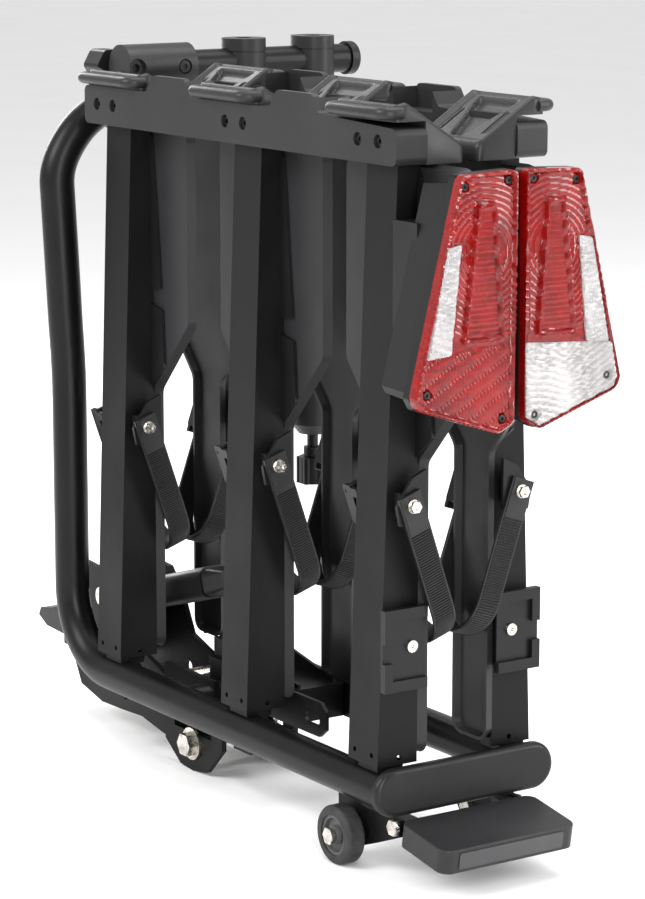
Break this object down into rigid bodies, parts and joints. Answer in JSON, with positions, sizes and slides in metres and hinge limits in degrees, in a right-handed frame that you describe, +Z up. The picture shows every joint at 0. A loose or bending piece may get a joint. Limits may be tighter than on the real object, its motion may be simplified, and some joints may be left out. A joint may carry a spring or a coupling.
{
  "type": "hitch mounted bike rack",
  "caption": "Folding tow-ball bike carrier with hinged wheel-tray wings, tilting coupling, sliding crossbar with swinging bike holders, strap ratchets, rear lights, wheels and pedal.",
  "frame": {"origin": "on the floor under the middle of the folded carrier's bounding box", "axes": "+X towards the rear lights, +Y across the car towards the free end of the crossbar, +Z up"},
  "size_m": [0.7596, 0.3508, 0.65],
  "materials": {
    "black_tube": "satin black powder coat",
    "black_sheet": "fine-textured black powder coat",
    "charcoal_plastic": "satin charcoal moulding",
    "black_plastic": "satin black moulding",
    "strap_plastic": "flexible ribbed strap",
    "zinc": "zinc-plated steel",
    "dark_screw": "blackened steel",
    "lens_red": "glossy red ribbed lens",
    "lens_clear": "glossy clear ribbed lens",
    "tyre_rubber": "solid grey-black tread",
    "hub_plastic": "satin grey hub",
    "panel": "blank name panel"
  },
  "bodies": {
    "frame": {"mast_tube": "black_tube", "far_rail": "black_tube", "rear_end_plate": "black_plastic", "centre_box": "black_tube", "pivot_plates": "black_sheet", "wheel_brackets": "black_sheet", "frame_bolts": "zinc", "elbow_clamp": "charcoal_plastic"},
    "coupling": {"cheek_plates": "black_sheet", "ball_housing": "black_plastic", "coupling_pins": "zinc"},
    "coupling_lever": {"lever_arm": "black_plastic", "lever_grip": "black_plastic"},
    "near_wheel": {"near_tyre": "tyre_rubber", "near_hub": "hub_plastic"},
    "far_wheel": {"far_tyre": "tyre_rubber", "far_hub": "hub_plastic"},
    "pedal": {"foot_pedal": "charcoal_plastic", "pedal_name_panel": "panel"},
    "clamp_knob": {"elbow_knob": "black_plastic"},
    "bar": {"crossbar": "black_tube", "crossbar_cap": "black_plastic"},
    "inner_holder": {"inner_holder_head": "charcoal_plastic", "inner_holder_arm": "charcoal_plastic"},
    "inner_knob": {"inner_holder_knob": "black_plastic"},
    "outer_holder": {"outer_holder_head": "charcoal_plastic", "outer_holder_arm": "charcoal_plastic"},
    "outer_knob": {"outer_holder_knob": "black_plastic"},
    "near_wing": {"near_beams": "black_sheet", "near_troughs": "charcoal_plastic", "near_tray_brackets": "black_plastic", "near_end_rail": "charcoal_plastic", "near_tip_caps": "charcoal_plastic", "near_straps": "strap_plastic", "near_zinc_bolts": "zinc", "near_dark_screws": "dark_screw", "near_buckles": "black_plastic", "near_light_housing": "black_plastic", "near_lens_red": "lens_red", "near_lens_clear": "lens_clear", "near_plate_clip": "black_plastic"},
    "far_wing": {"far_beams": "black_sheet", "far_troughs": "charcoal_plastic", "far_tray_brackets": "black_plastic", "far_end_rail": "charcoal_plastic", "far_tip_caps": "charcoal_plastic", "far_straps": "strap_plastic", "far_zinc_bolts": "zinc", "far_dark_screws": "dark_screw", "far_buckles": "black_plastic", "far_light_housing": "black_plastic", "far_lens_red": "lens_red", "far_lens_clear": "lens_clear", "far_plate_clip": "black_plastic"},
    "near_ratchet_1": {"near_buckle_lever_1": "black_plastic"},
    "near_ratchet_2": {"near_buckle_lever_2": "black_plastic"},
    "near_ratchet_3": {"near_buckle_lever_3": "black_plastic"},
    "far_ratchet_1": {"far_buckle_lever_1": "black_plastic"},
    "far_ratchet_2": {"far_buckle_lever_2": "black_plastic"},
    "far_ratchet_3": {"far_buckle_lever_3": "black_plastic"}
  },
  "joints": [
    {"name": "near_wing_fold", "type": "hinge", "parent": "frame", "child": "near_wing", "pos_m": [0.07625, -0.14363, 0.075], "axis": [1, 0, 0], "range_deg": [0, 90]},
    {"name": "far_wing_fold", "type": "hinge", "parent": "frame", "child": "far_wing", "pos_m": [0.07625, -0.00563, 0.075], "axis": [-1, 0, 0], "range_deg": [0, 90]},
    {"name": "coupling_tilt", "type": "hinge", "parent": "frame", "child": "coupling", "pos_m": [-0.05175, -0.07463, 0.026], "axis": [0, -1, 0], "range_deg": [0, 30]},
    {"name": "lever_swing", "type": "hinge", "parent": "coupling", "child": "coupling_lever", "pos_m": [-0.22375, -0.07463, 0.128], "axis": [0, -1, 0], "range_deg": [-10, 3]},
    {"name": "near_wheel_roll", "type": "hinge", "parent": "frame", "child": "near_wheel", "pos_m": [0.23825, -0.14913, 0.025], "axis": [0, 1, 0], "continuous": true},
    {"name": "far_wheel_roll", "type": "hinge", "parent": "frame", "child": "far_wheel", "pos_m": [0.23825, -0.00013, 0.025], "axis": [0, 1, 0], "continuous": true},
    {"name": "pedal_press", "type": "hinge", "parent": "frame", "child": "pedal", "pos_m": [0.29825, -0.07463, 0.044], "axis": [0, 1, 0], "range_deg": [0, 12], "stiffness_Nm_per_rad": 6, "springref_deg": -5.73},
    {"name": "clamp_knob_turn", "type": "hinge", "parent": "frame", "child": "clamp_knob", "pos_m": [-0.26175, -0.07763, 0.627], "axis": [1, 0, 0], "continuous": true},
    {"name": "bar_slide", "type": "slide", "parent": "frame", "child": "bar", "axis": [0, 1, 0], "range_m": [0, 0.03]},
    {"name": "inner_holder_swing", "type": "hinge", "parent": "bar", "child": "inner_holder", "pos_m": [-0.22175, 0.05037, 0.627], "axis": [0, 1, 0], "range_deg": [0, 100]},
    {"name": "inner_knob_turn", "type": "hinge", "parent": "inner_holder", "child": "inner_knob", "pos_m": [-0.22175, 0.05037, 0.24], "axis": [0, 0, 1], "continuous": true},
    {"name": "outer_holder_swing", "type": "hinge", "parent": "bar", "child": "outer_holder", "pos_m": [-0.22175, 0.12837, 0.627], "axis": [0, 1, 0], "range_deg": [0, 100]},
    {"name": "outer_knob_turn", "type": "hinge", "parent": "outer_holder", "child": "outer_knob", "pos_m": [-0.22175, 0.12837, 0.24], "axis": [0, 0, 1], "continuous": true},
    {"name": "near_ratchet_1_lift", "type": "hinge", "parent": "near_wing", "child": "near_ratchet_1", "pos_m": [-0.17725, -0.13058, 0.31767], "axis": [0, 0.9455, 0.3256], "range_deg": [0, 20]},
    {"name": "near_ratchet_2_lift", "type": "hinge", "parent": "near_wing", "child": "near_ratchet_2", "pos_m": [0.03875, -0.13058, 0.31767], "axis": [0, 0.9455, 0.3256], "range_deg": [0, 60]},
    {"name": "near_ratchet_3_lift", "type": "hinge", "parent": "near_wing", "child": "near_ratchet_3", "pos_m": [0.23575, -0.13058, 0.31767], "axis": [0, 0.9455, 0.3256], "range_deg": [0, 60]},
    {"name": "far_ratchet_1_lift", "type": "hinge", "parent": "far_wing", "child": "far_ratchet_1", "pos_m": [-0.17725, -0.01868, 0.31767], "axis": [0, 0.9455, -0.3256], "range_deg": [0, 20]},
    {"name": "far_ratchet_2_lift", "type": "hinge", "parent": "far_wing", "child": "far_ratchet_2", "pos_m": [0.03875, -0.01868, 0.31767], "axis": [0, 0.9455, -0.3256], "range_deg": [0, 60]},
    {"name": "far_ratchet_3_lift", "type": "hinge", "parent": "far_wing", "child": "far_ratchet_3", "pos_m": [0.23575, -0.01868, 0.31767], "axis": [0, 0.9455, -0.3256], "range_deg": [0, 60]}
  ]
}
